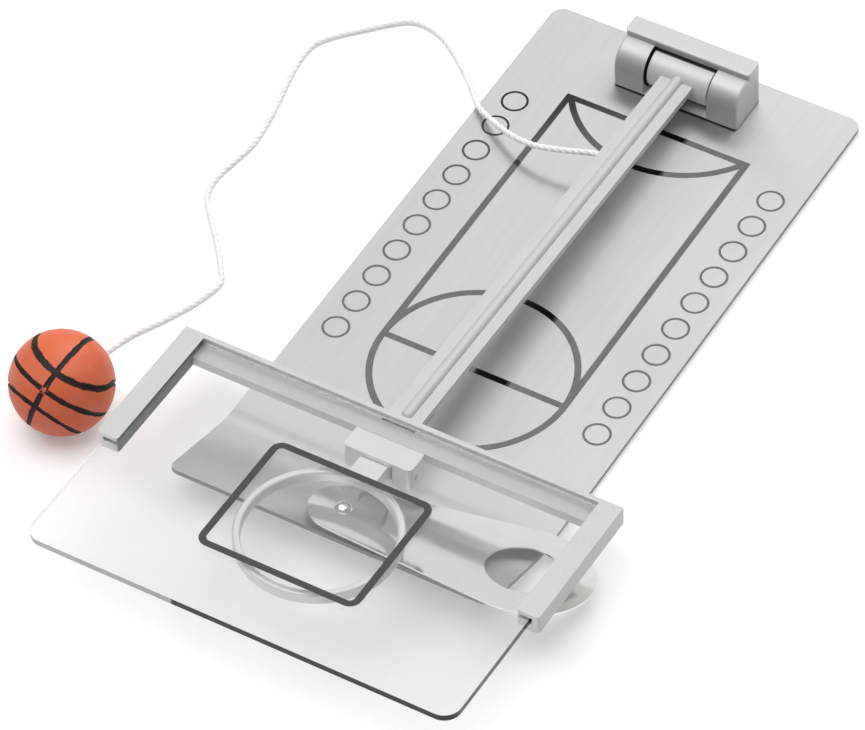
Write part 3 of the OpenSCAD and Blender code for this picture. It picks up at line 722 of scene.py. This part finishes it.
# Painted shade on the post's underside.
POST_SILVER = SilverLacquer("post_silver_lacquer", (0.585, 0.59, 0.578), grain_size=0.35 * MM,
                            painted_under_tone=0.2)
# Painted light on the frame's underside and on its faces that look to -Y, painted shade on the inner sides
# of its arms.
FRAME_SILVER = SilverLacquer("frame_silver_lacquer", (0.60, 0.605, 0.592), grain_size=0.35 * MM,
                             painted_under_tone=1.5, painted_front_tone=1.35, inside=66.5 * MM)
# Painted shadow line on the barrel where it turns under the cap's edge.
BARREL_SILVER = SilverLacquer("barrel_silver_lacquer", (0.61, 0.618, 0.605),
                              painted_shade=(ShadeBand("Y", 0.0, 1.0, -0.6 * MM, -0.3 * MM),))
# Painted light on the faces that look to -Y.
HOOP_GREY = SilverLacquer("hoop_grey_lacquer", (0.80, 0.805, 0.79), roughness=0.38, painted_front_tone=1.2)
BRIGHT_STEEL = PolishedSteel("bright_plated_steel", (0.78, 0.78, 0.76), roughness=0.16)
SPRING_STEEL = PolishedSteel("polished_spring_steel", (0.80, 0.79, 0.77), roughness=0.11)
STRIP_RUBBER = MattMoulding("black_strip_rubber", (0.02, 0.02, 0.02))
WASHER_NYLON = MattMoulding("black_nylon", (0.012, 0.012, 0.012), roughness=0.6, shine=0.1)
CLEAR_BOARD = ClearSheet("clear_board_sheet", (0.87, 0.875, 0.87))
COURT_INK = PrintInk("court_print_ink", (0.124, 0.127, 0.117))
BOARD_INK = PrintInk("board_print_ink", (0.05, 0.05, 0.048), metal=0.6)
BALL_ORANGE = BallRubber("orange_ball_rubber", (0.76, 0.15, 0.062))
WHITE_YARN = TwistedYarn("white_twisted_yarn", (0.97, 0.97, 0.96))


# Mesh helpers


def placed(name: str, data: bpy.types.ID) -> bpy.types.Object:
    """Puts a new object into the scene.

    Args:
        name: Name of the object.
        data: Its mesh, lamp or camera.

    Returns:
        The object.
    """
    made = bpy.data.objects.new(name, data)
    bpy.context.scene.collection.objects.link(made)
    return made


def finished_piece(name: str, mesh: BMesh, finish: Finish, library: GrainLibrary,
                   smooth: bool = False) -> bpy.types.Object:
    """Turns a finished bmesh into an object at the origin with its material.

    Args:
        name: Name of the piece.
        mesh: The shape, in the frame of the CAD part. It is freed.
        finish: Its finish.
        library: The shared node groups.
        smooth: Whether its faces are shaded smooth.

    Returns:
        The object.
    """
    bmesh.ops.recalc_face_normals(mesh, faces=mesh.faces)
    data = bpy.data.meshes.new(name)
    mesh.to_mesh(data)
    mesh.free()
    data.shade_smooth() if smooth else data.shade_flat()
    data.materials.append(finish.material(library))
    return placed(name, data)


@dataclass
class LinePrint:
    """Printed lines on one flat face, each a thin closed film.

    Attributes:
        ground: Height of the face that carries the print, in its own frame.
        step: How much thicker each shape is than the last, until they start again.
    """

    ground: float
    gap: float = 0.002 * MM
    film: float = 0.02 * MM
    step: float = 0.004 * MM
    steps: int = 8
    mesh: BMesh = field(default_factory=bmesh.new)
    layers: int = 0

    def _lift(self, faces: list[BMFace]) -> None:
        """Gives flat faces at height 0 their place and thickness."""
        corners = list({v for f in faces for v in f.verts})
        bmesh.ops.translate(self.mesh, verts=corners, vec=(0, 0, self.ground + self.gap))
        raised = bmesh.ops.extrude_face_region(self.mesh, geom=faces, use_keep_orig=True)
        top = [v for v in raised["geom"] if isinstance(v, BMVert)]
        bmesh.ops.translate(self.mesh, verts=top, vec=(0, 0, self.film + self.step * self.layers))
        self.layers = (self.layers + 1) % self.steps

    def _outline(self, face: BMFace, width: float) -> None:
        """Keeps a border of a face and prints it.

        Args:
            face: The face whose outer edge is the line's outer edge.
            width: Width of the line.
        """
        border = bmesh.ops.inset_region(self.mesh, faces=[face], thickness=width, use_boundary=True,
                                        use_even_offset=True)
        bmesh.ops.delete(self.mesh, geom=[face], context="FACES_ONLY")
        self._lift(border["faces"])

    def ring(self, centre: Pair, radius: float, width: float, steps: int) -> None:
        """Prints a circle.

        Args:
            centre: Middle of the circle.
            radius: Radius of its outer edge.
            width: Width of the line.
            steps: Number of segments.
        """
        made = bmesh.ops.create_circle(self.mesh, cap_ends=True, radius=radius, segments=steps)
        bmesh.ops.translate(self.mesh, verts=made["verts"], vec=(*centre, 0))
        self._outline(made["verts"][0].link_faces[0], width)

    def arc(self, centre: Pair, radius: float, width: float, first_deg: float,
            last_deg: float, steps: int) -> None:
        """Prints part of a circle.

        Args:
            centre: Middle of the circle.
            radius: Radius of the line's middle.
            width: Width of the line.
            first_deg: Angle where it starts, from +X.
            last_deg: Angle where it ends.
            steps: Number of segments.
        """
        turn = Matrix.Rotation(math.radians(first_deg), 3, "Z")
        reach = (radius - width / 2, radius + width / 2)
        ends = [self.mesh.verts.new(turn @ Vector((r, 0, 0))) for r in reach]
        edge = self.mesh.edges.new(ends)
        kept = set(self.mesh.faces)
        bmesh.ops.spin(self.mesh, geom=[*ends, edge], cent=(0, 0, 0), axis=(0, 0, 1),
                       angle=math.radians(last_deg - first_deg), steps=steps)
        faces = [f for f in self.mesh.faces if f not in kept]
        bmesh.ops.translate(self.mesh, verts=list({v for f in faces for v in f.verts}), vec=(*centre, 0))
        self._lift(faces)

    def _rectangle(self, low: Pair, high: Pair) -> BMFace:
        """A flat face between two corners."""
        made = bmesh.ops.create_grid(self.mesh, x_segments=1, y_segments=1, size=0.5)
        size = (high[0] - low[0], high[1] - low[1], 1)
        middle = ((low[0] + high[0]) / 2, (low[1] + high[1]) / 2, 0)
        bmesh.ops.scale(self.mesh, vec=size, verts=made["verts"])
        bmesh.ops.translate(self.mesh, verts=made["verts"], vec=middle)
        return made["verts"][0].link_faces[0]

    def bar(self, low: Pair, high: Pair) -> None:
        """Prints a straight filled line between two corners."""
        self._lift([self._rectangle(low, high)])

    def box(self, low: Pair, high: Pair, width: float, corner: float) -> None:
        """Prints a rectangle's outline.

        Args:
            low: One outer corner.
            high: The other outer corner.
            width: Width of the line.
            corner: Outer radius of its corners.
        """
        kept = set(self.mesh.faces)
        face = self._rectangle(low, high)
        bmesh.ops.bevel(self.mesh, geom=list(face.verts), offset=corner, offset_type="OFFSET", segments=8,
                        profile=0.5, affect="VERTICES", material=-1)
        self._outline(next(f for f in self.mesh.faces if f not in kept), width)


# Sub-assemblies


Finishes = ClassVar[dict[str, Finish]]


@dataclass
class Unit:
    """A sub-assembly, with the finish of each of its CAD nodes."""

    library: GrainLibrary
    finishes: Finishes = {}

    def build(self) -> None:
        """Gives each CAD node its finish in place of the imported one."""
        for node, finish in self.finishes.items():
            data = frame["nodes"][node].data
            data.materials.clear()
            data.materials.append(finish.material(self.library))
            log.info("%s: %s", node, finish.name)


@dataclass
class Court(Unit):
    """The steel court: its sheet, rubber strips and printed lines.

    Attributes:
        side: Distance from the middle to the outer edge of the key's side lines.
        far: Place along Y of the key's rear end.
        arc_sag: How far the key's end arc bulges.
    """

    finishes: Finishes = {"base_plate": COURT_STEEL, "foot_pads": STRIP_RUBBER}
    top: float = 2.2 * MM
    line: float = 1.95 * MM
    side: float = 29.7 * MM
    far: float = -16.3 * MM
    circle_y: float = -120.9 * MM
    arc_sag: float = 17.5 * MM
    ring_x: float = 41.46 * MM
    ring_y: float = -26.3 * MM
    ring_pitch: float = 11.0 * MM
    ring_radius: float = 4.05 * MM
    ring_line: float = 0.7 * MM
    rings: int = 10

    def build(self) -> None:
        """Dresses the sheet and strips and prints the court."""
        super().build()
        self._court_lines()
        self._scoring_rings()

    def _court_lines(self) -> None:
        """The key, its end arc, the circle and its middle line."""
        lines = LinePrint(self.top)
        inner = self.side - self.line
        lines.bar((-self.side, self.far - self.line), (self.side, self.far))
        for left, right in ((-self.side, -inner), (inner, self.side)):
            lines.bar((left, self.circle_y), (right, self.far - self.line))
        lines.ring((0, self.circle_y), self.side, self.line, 96)
        lines.bar((-inner, self.circle_y - self.line / 2), (inner, self.circle_y + self.line / 2))
        radius = (self.side ** 2 + self.arc_sag ** 2) / (2 * self.arc_sag)
        half = math.degrees(math.asin((self.side - self.line / 3) / radius))
        centre = (0, self.far - self.arc_sag + radius)
        lines.arc(centre, radius - self.line / 2, self.line, -90 - half, -90 + half, 40)
        self._keep("court_lines", lines)

    def _scoring_rings(self) -> None:
        """Ten small rings down each side."""
        rings = LinePrint(self.top)
        for i in range(self.rings):
            for x in (-self.ring_x, self.ring_x):
                rings.ring((x, self.ring_y - i * self.ring_pitch), self.ring_radius, self.ring_line, 48)
        self._keep("scoring_rings", rings)

    def _keep(self, name: str, lines: LinePrint) -> None:
        """Makes a print a piece of the base."""
        piece = finished_piece(name, lines.mesh, COURT_INK, self.library)
        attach(piece, Body.BASE.value)
        log.info("%s: %d faces", name, len(piece.data.polygons))


class HingeUnit(Unit):
    """The cast hinge block with its barrel, pin, washers and screws."""

    finishes: Finishes = {
        "hinge_block": CAST_SILVER,
        "hinge_barrel": BARREL_SILVER,
        "hinge_pin": BRIGHT_STEEL,
        "block_screws": BRIGHT_STEEL,
        "friction_washers": WASHER_NYLON,
    }


@dataclass
class Upright(Unit):
    """The post, the framed clear board and its printed target.

    Attributes:
        board_top: Height of the board's upper face above the hinge axis, square to the post.
        pin_place: Distance along the post and height over its axis of the hoop's pin.
        target_s: Outer edges of the target, along the post from the hinge axis.
    """

    finishes: Finishes = {
        "post": POST_SILVER,
        "post_screws": BRIGHT_STEEL,
        "board_frame": FRAME_SILVER,
        "backboard": CLEAR_BOARD,
    }
    board_top: float = 3.5 * MM
    pin_place: Pair = (170.4 * MM, -3.2 * MM)
    target_x: Pair = (-25.2 * MM, 24.6 * MM)
    target_s: Pair = (181.3 * MM, 223.6 * MM)
    target_line: float = 2.1 * MM
    target_corner: float = 3.6 * MM

    def post_matrix(self) -> Matrix:
        """Places the post's own frame: local -Y runs along the post and local Z square to it.

        Returns:
            The matrix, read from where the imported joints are.
        """
        joints = {j["name"]: j for j in frame["joints"]}
        axis, pin = (Vector(joints[n]["pos_m"]) for n in ("post_fold", "hoop_fold"))
        rise = math.atan2(pin.z - axis.z, axis.y - pin.y)
        tilt = rise - math.atan2(self.pin_place[1], self.pin_place[0])
        return Matrix.Translation((0, 0, axis.z)) @ Matrix.Rotation(-tilt, 4, "X")

    def build(self) -> None:
        """Dresses the post, frame and board and prints the target."""
        super().build()
        target = LinePrint(self.board_top)
        (x0, x1), (s0, s1) = self.target_x, self.target_s
        target.box((x0, -s1), (x1, -s0), self.target_line, self.target_corner)
        bmesh.ops.transform(target.mesh, matrix=self.post_matrix(), verts=target.mesh.verts)
        piece = finished_piece("target_line", target.mesh, BOARD_INK, self.library)
        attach(piece, Body.UPRIGHT.value)
        log.info("target_line: %d faces", len(piece.data.polygons))


class HoopUnit(Unit):
    """The hoop with its bracket, pin and screws."""

    finishes: Finishes = {
        "hoop_bracket": HOOP_GREY,
        "bracket_screws": BRIGHT_STEEL,
        "hoop_pin": BRIGHT_STEEL,
        "hoop_ring": HOOP_GREY,
    }


class FlipperUnit(Unit):
    """The spring flipper with its spacer, screw and nut."""

    finishes: Finishes = {
        "flipper": SPRING_STEEL,
        "flipper_spacer": BRIGHT_STEEL,
        "flipper_screw": BRIGHT_STEEL,
        "flipper_nut": BRIGHT_STEEL,
    }


@dataclass
class TetheredBall(Unit):
    """The ball and the twisted cord from it to the post.

    Attributes:
        strand_turn: Length of cord in which the strands turn once round.
        offset_share: Distance from the cord's middle to a strand's, against its radius.
        valley_share: Depth at which the painted shade between strands is full, against the radius.
        route: Points that the cord passes, in millimetres, from the ball to the post.
    """

    finishes: Finishes = {"ball": BALL_ORANGE}
    radius: float = 0.9 * MM
    station_gap: float = 0.35 * MM
    strand_turn: float = 6.4 * MM
    strands: int = 3
    sides: int = 18
    strand_share: float = 0.58 / 0.9
    offset_share: float = 0.32 / 0.9
    valley_share: float = 0.26
    valley_power: float = 1.5
    curve_steps: int = 24
    route: tuple[Triple, ...] = (
        (-92.2, -178.4, 7.0), (-92.6, -176.6, 5.5), (-93.2, -173.6, 3.1),
        (-93.6, -169.5, 1.4), (-93.4, -163.5, 0.9), (-90.4, -154, 0.9),
        (-85.8, -145.4, 0.9), (-81.8, -136.7, 0.9), (-79.5, -129.3, 0.9),
        (-79.3, -124.8, 0.9), (-82.1, -120.6, 0.9), (-87.4, -113.7, 0.9),
        (-96.3, -103.8, 0.9), (-100.2, -98.4, 0.9), (-101.5, -91.7, 0.9),
        (-100.4, -83.5, 0.9), (-99.3, -75, 0.9), (-100.2, -66, 0.9),
        (-101.8, -57.5, 0.9), (-104.2, -46.4, 0.9), (-105.2, -38.3, 0.9),
        (-104.4, -31.8, 0.9), (-99.8, -25.5, 0.9), (-94.7, -20.3, 0.9),
        (-89, -14.6, 0.9), (-83.9, -11.3, 0.9), (-77.2, -11.5, 0.9),
        (-70.4, -14.6, 1.0), (-61.2, -21.9, 1.7), (-55, -27.8, 2.7),
        (-48.6, -34.3, 3.7), (-42.6, -38.0, 5.0), (-33.9, -42.1, 6.8),
        (-25.9, -44.1, 8.5), (-18.4, -43.9, 10.0), (-11.4, -42.6, 11.2),
        (-7.2, -41.5, 11.7), (-5.2, -41.4, 11.8))
    rises_from: Triple = (-0.095, -0.030, 0.001)
    rises_to: Triple = (-0.0052, -0.0414, 0.0118)

    def build(self) -> None:
        """Dresses the ball and lays the cord in place of its CAD solid."""
        super().build()
        path = self.path()
        cord = self._twisted(path)
        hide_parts("cord")
        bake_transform(cord)

    def path(self) -> list[Vector]:
        """The cord's line, smooth through its route and evenly stepped.

        Returns:
            Points in metres, none nearer the table than the cord's radius.
        """
        points = [Vector(p) * MM for p in self.route]
        fine: list[Vector] = []
        for i in range(len(points) - 1):
            a, b, c, d = (points[min(max(k, 0), len(points) - 1)] for k in range(i - 1, i + 3))
            for k in range(self.curve_steps):
                t = k / self.curve_steps
                p = (2 * b + (c - a) * t + (2 * a - 5 * b + 4 * c - d) * t ** 2
                     + (3 * b - a - 3 * c + d) * t ** 3) / 2
                fine.append(Vector((p.x, p.y, max(p.z, self.radius))))
        fine.append(points[-1])
        total = sum((b - a).length for a, b in zip(fine, fine[1:]))
        count = round(total / self.station_gap)
        even, done, i = [fine[0]], 0.0, 0
        for k in range(1, count):
            want = total * k / count
            while done + (fine[i + 1] - fine[i]).length < want:
                done += (fine[i + 1] - fine[i]).length
                i += 1
            step = fine[i + 1] - fine[i]
            even.append(fine[i] + step * ((want - done) / step.length))
        return [*even, fine[-1]]

    def _lobed(self, phase: float) -> list[Vector]:
        """Corners of the cord's section in its own plane, turned by a phase.

        Args:
            phase: Turn of the strands at this station, in radians.

        Returns:
            One point for each side, at most the cord's radius from the middle.
        """
        strand, offset = self.strand_share * self.radius, self.offset_share * self.radius
        wedge = 2 * math.pi / self.strands
        corners = []
        for k in range(self.sides):
            angle = 2 * math.pi * k / self.sides
            across = (angle + wedge / 2) % wedge - wedge / 2
            reach = offset * math.cos(across) + math.sqrt(strand ** 2 - (offset * math.sin(across)) ** 2)
            corners.append(Vector((reach * math.cos(angle + phase), reach * math.sin(angle + phase), 0)))
        return corners

    def _twisted(self, path: list[Vector]) -> bpy.types.Object:
        """Sweeps the turning section along the path.

        Args:
            path: The cord's line.

        Returns:
            The cord's object.
        """
        mesh = bmesh.new()
        strands = mesh.loops.layers.uv.new("strands")
        valley_shade = mesh.verts.layers.float.new("valley_shade")
        made = bmesh.ops.create_circle(mesh, cap_ends=True, radius=self.radius, segments=self.sides)
        ring = made["verts"]
        edges = list({e for v in ring for e in v.link_edges})
        depth = [self.radius - c.length for c in self._lobed(0.0)]
        aim = Quaternion()
        ahead = Vector((0, 0, 1))
        for i, point in enumerate(path):
            heading = (path[min(i + 1, len(path) - 1)] - path[max(i - 1, 0)]).normalized()
            aim = ahead.rotation_difference(heading) @ aim
            ahead = heading
            if i:
                grown = bmesh.ops.extrude_edge_only(mesh, edges=edges)["geom"]
                edges = [e for e in grown if isinstance(e, BMEdge)
                         and all(v in grown for v in e.verts)]
                ring = self._in_order(ring, set(v for v in grown if isinstance(v, BMVert)))
            phase = 2 * math.pi * i * self.station_gap / self.strand_turn
            for vert, corner, sink in zip(ring, self._lobed(phase), depth):
                vert.co = point + aim @ corner
                # Painted shade where the strands meet, deepest in the hollows between them.
                vert[valley_shade] = min(1.0, (sink / (self.valley_share * self.radius)) ** self.valley_power)
            for k, vert in enumerate(ring):
                for loop in vert.link_loops:
                    loop[strands].uv = (i * self.station_gap, k / self.sides)
        bmesh.ops.contextual_create(mesh, geom=edges)
        return finished_piece("twisted_cord", mesh, WHITE_YARN, self.library, smooth=True)

    @staticmethod
    def _in_order(ring: list[BMVert], grown: set[BMVert]) -> list[BMVert]:
        """The new ring's corners in the order of the ring that they grew from."""
        return [next(e.other_vert(v) for e in v.link_edges if e.other_vert(v) in grown) for v in ring]


# Studio


@dataclass(frozen=True)
class Panel:
    """A flat lit panel, turned from facing down; a radiance of 1 is white."""

    name: str
    place: Triple
    turn_deg: Triple
    size: Pair
    radiance: float

    def build(self) -> None:
        """Hangs the panel as an area lamp."""
        data = bpy.data.lights.new(self.name, "AREA")
        data.shape = "RECTANGLE"
        data.size, data.size_y = self.size
        data.energy = self.radiance * math.pi * self.size[0] * self.size[1]
        lamp = placed(self.name, data)
        lamp.location = self.place
        lamp.rotation_euler = tuple(math.radians(a) for a in self.turn_deg)


@dataclass
class Studio:
    """The pale floor, the soft lights and the camera.

    Attributes:
        floor_lift: Glow of the floor towards the eye and in mirrors.
        room_edge: Directions along Y between which the room in front fades out.
    """

    camera_place: Triple = (0.5954963, -1.0552612, 1.2361113)
    azimuth_deg: float = -33.0854
    elevation_deg: float = 48.0124
    roll_deg: float = -3.4712
    focal: float = 6043.19
    picture_width: float = 865.0
    sensor: float = 36.0
    floor_size: float = 6.0
    floor_tone: float = 0.86
    floor_lift: float = 0.26
    sky: float = 0.07
    front_room: float = 0.35
    room_edge: Pair = (-0.2, 0.1)
    panels: tuple[Panel, ...] = (
        Panel("ceiling_panel", (-0.152, 0.252, 1.2), (0, 0, 41.0), (2.4, 1.7), 1.45),
        Panel("rear_panel", (-0.2, 1.6, 0.89), (-90, 0, 0), (4.0, 1.78), 0.85),
        Panel("front_panel", (-0.3, -0.6, 1.9), (17, 0, -9), (2.0, 1.2), 1.8))

    def build(self) -> None:
        """Makes camera, floor and lights."""
        self._camera()
        self._floor()
        self._world()
        for panel in self.panels:
            panel.build()
        bpy.context.scene.view_settings.view_transform = "Standard"

    def _camera(self) -> None:
        """Places the camera at the photograph's angle."""
        azimuth, elevation = math.radians(self.azimuth_deg), math.radians(self.elevation_deg)
        level = math.cos(elevation)
        look = Vector((math.sin(azimuth) * level, math.cos(azimuth) * level, -math.sin(elevation)))
        data = bpy.data.cameras.new("photo_camera")
        data.sensor_width = self.sensor
        data.lens = self.focal / self.picture_width * self.sensor
        data.clip_start, data.clip_end = 0.05, 20.0
        camera = placed("photo_camera", data)
        camera.location = self.camera_place
        camera.rotation_mode = "QUATERNION"
        roll = Quaternion((0, 0, 1), math.radians(self.roll_deg))
        camera.rotation_quaternion = look.to_track_quat("-Z", "Y") @ roll
        bpy.context.scene.camera = camera

    def _floor(self) -> None:
        """A pale floor that shows white and keeps the shadows."""
        mesh = bmesh.new()
        bmesh.ops.create_grid(mesh, x_segments=1, y_segments=1, size=self.floor_size / 2)
        data = bpy.data.meshes.new("floor")
        mesh.to_mesh(data)
        mesh.free()
        material = bpy.data.materials.new("pale_floor")
        material.use_nodes = True
        tree = material.node_tree
        rays = tree.nodes.new("ShaderNodeLightPath").outputs
        clear = add_math(tree, "MAXIMUM", rays["Is Glossy Ray"], rays["Is Transmission Ray"])
        seen = add_math(tree, "MAXIMUM", rays["Is Camera Ray"], clear)
        give(tree, tree.nodes["Principled BSDF"], Base_Color=(self.floor_tone,) * 3, Roughness=0.9,
             Specular_IOR_Level=0.0, Emission_Color=(1.0, 1.0, 1.0),
             Emission_Strength=add_math(tree, "MULTIPLY", seen, self.floor_lift))
        data.materials.append(material)
        floor = placed("floor", data)

    def _world(self) -> None:
        """Dim even light, and a pale room in front that only shows in reflections."""
        world = bpy.data.worlds.new("studio_world")
        world.use_nodes = True
        tree = world.node_tree
        parts = tree.nodes.new("ShaderNodeSeparateXYZ")
        tree.links.new(tree.nodes.new("ShaderNodeTexCoord").outputs["Generated"], parts.inputs[0])
        room = give(tree, tree.nodes.new("ShaderNodeMapRange"), Value=parts.outputs["Y"],
                    From_Min=self.room_edge[0], From_Max=self.room_edge[1],
                    To_Min=self.front_room, To_Max=0.0)
        mirrored = tree.nodes.new("ShaderNodeLightPath").outputs["Is Glossy Ray"]
        shown = add_math(tree, "MULTIPLY_ADD", room.outputs["Result"], mirrored, self.sky)
        give(tree, tree.nodes["Background"], Color=(1.0, 1.0, 1.0), Strength=shown)
        bpy.context.scene.world = world


def main() -> None:
    """Builds the game's looks in order."""
    logging.basicConfig(level=logging.INFO, format="%(name)s %(message)s")
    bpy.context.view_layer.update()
    Studio().build()
    library = GrainLibrary()
    for unit in (Court, HingeUnit, Upright, HoopUnit, FlipperUnit, TetheredBall):
        unit(library).build()
        log.info("%s is ready", unit.__name__)


if __name__ == "__main__":
    main()
